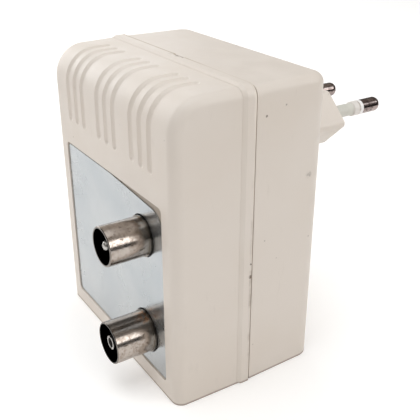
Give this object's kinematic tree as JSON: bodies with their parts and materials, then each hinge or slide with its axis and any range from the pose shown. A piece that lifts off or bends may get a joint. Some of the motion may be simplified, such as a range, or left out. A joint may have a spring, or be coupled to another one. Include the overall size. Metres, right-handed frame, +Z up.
{
  "type": "tv signal amplifier",
  "caption": "Plug-in aerial signal amplifier: drafted two-shell case with a raised seam band and edge grooves, a foil label, two coaxial sockets in front and a two-pin mains plug behind",
  "frame": {"origin": "middle of the flat underside of the case, halfway between its left and right sides and between its front face and its back face", "axes": "+X to the right seen from the front, where the sockets are; +Y from the front face to the plug; +Z up"},
  "size_m": [0.0628, 0.0891, 0.0755],
  "materials": {
    "housing": "moulded, slightly yellowed off-white",
    "label_foil": "mirror-like foil",
    "socket_nickel": "nickel plated, tarnished",
    "contact_metal": "tinned",
    "socket_black": "moulded",
    "pin_metal": "nickel plated",
    "pin_sleeve": "moulded",
    "screw_steel": "zinc plated",
    "tinplate": "rolled sheet",
    "barrier_paper": "pressed fish paper",
    "board": "phenolic laminate",
    "ferrite": "sintered",
    "black_plastic": "moulded",
    "disc_ceramic": "dipped",
    "core_steel": "varnished laminations",
    "bobbin": "moulded nylon",
    "copper": "enamelled copper wire",
    "fuse_body": "glazed",
    "capacitor_sleeve": "shrunk sleeve",
    "lead_brown": "wire insulation",
    "lead_blue": "wire insulation",
    "lead_red": "wire insulation",
    "lead_black": "wire insulation"
  },
  "bodies": {
    "root": {"front_shell": "housing", "rear_shell": "housing", "front_label": "label_foil", "tv_socket_shell": "socket_nickel", "tv_socket_insulator": "socket_black", "tv_socket_pin": "contact_metal", "aerial_socket_shell": "socket_nickel", "aerial_socket_insulator": "socket_black", "aerial_socket_contact": "contact_metal", "plug_pin_left": "pin_metal", "plug_pin_right": "pin_metal", "pin_sleeve_left": "pin_sleeve", "pin_sleeve_right": "pin_sleeve", "mains_lead_left": "lead_brown", "mains_lead_right": "lead_blue", "case_screws": "screw_steel", "board_screws": "screw_steel", "shield_can": "tinplate", "shield_lid": "tinplate", "insulation_barrier": "barrier_paper", "radio_board": "board", "ferrite_rings": "ferrite", "transistors": "black_plastic", "disc_capacitors": "disc_ceramic", "power_board": "board", "transformer_core": "core_steel", "transformer_bobbin": "bobbin", "primary_winding": "copper", "secondary_winding": "copper", "thermal_fuse": "fuse_body", "smoothing_capacitor": "capacitor_sleeve", "rectifier_diodes": "black_plastic", "voltage_regulator": "black_plastic", "supply_lead_positive": "lead_red", "supply_lead_negative": "lead_black", "feedthrough_capacitor": "contact_metal"}
  },
  "joints": []
}
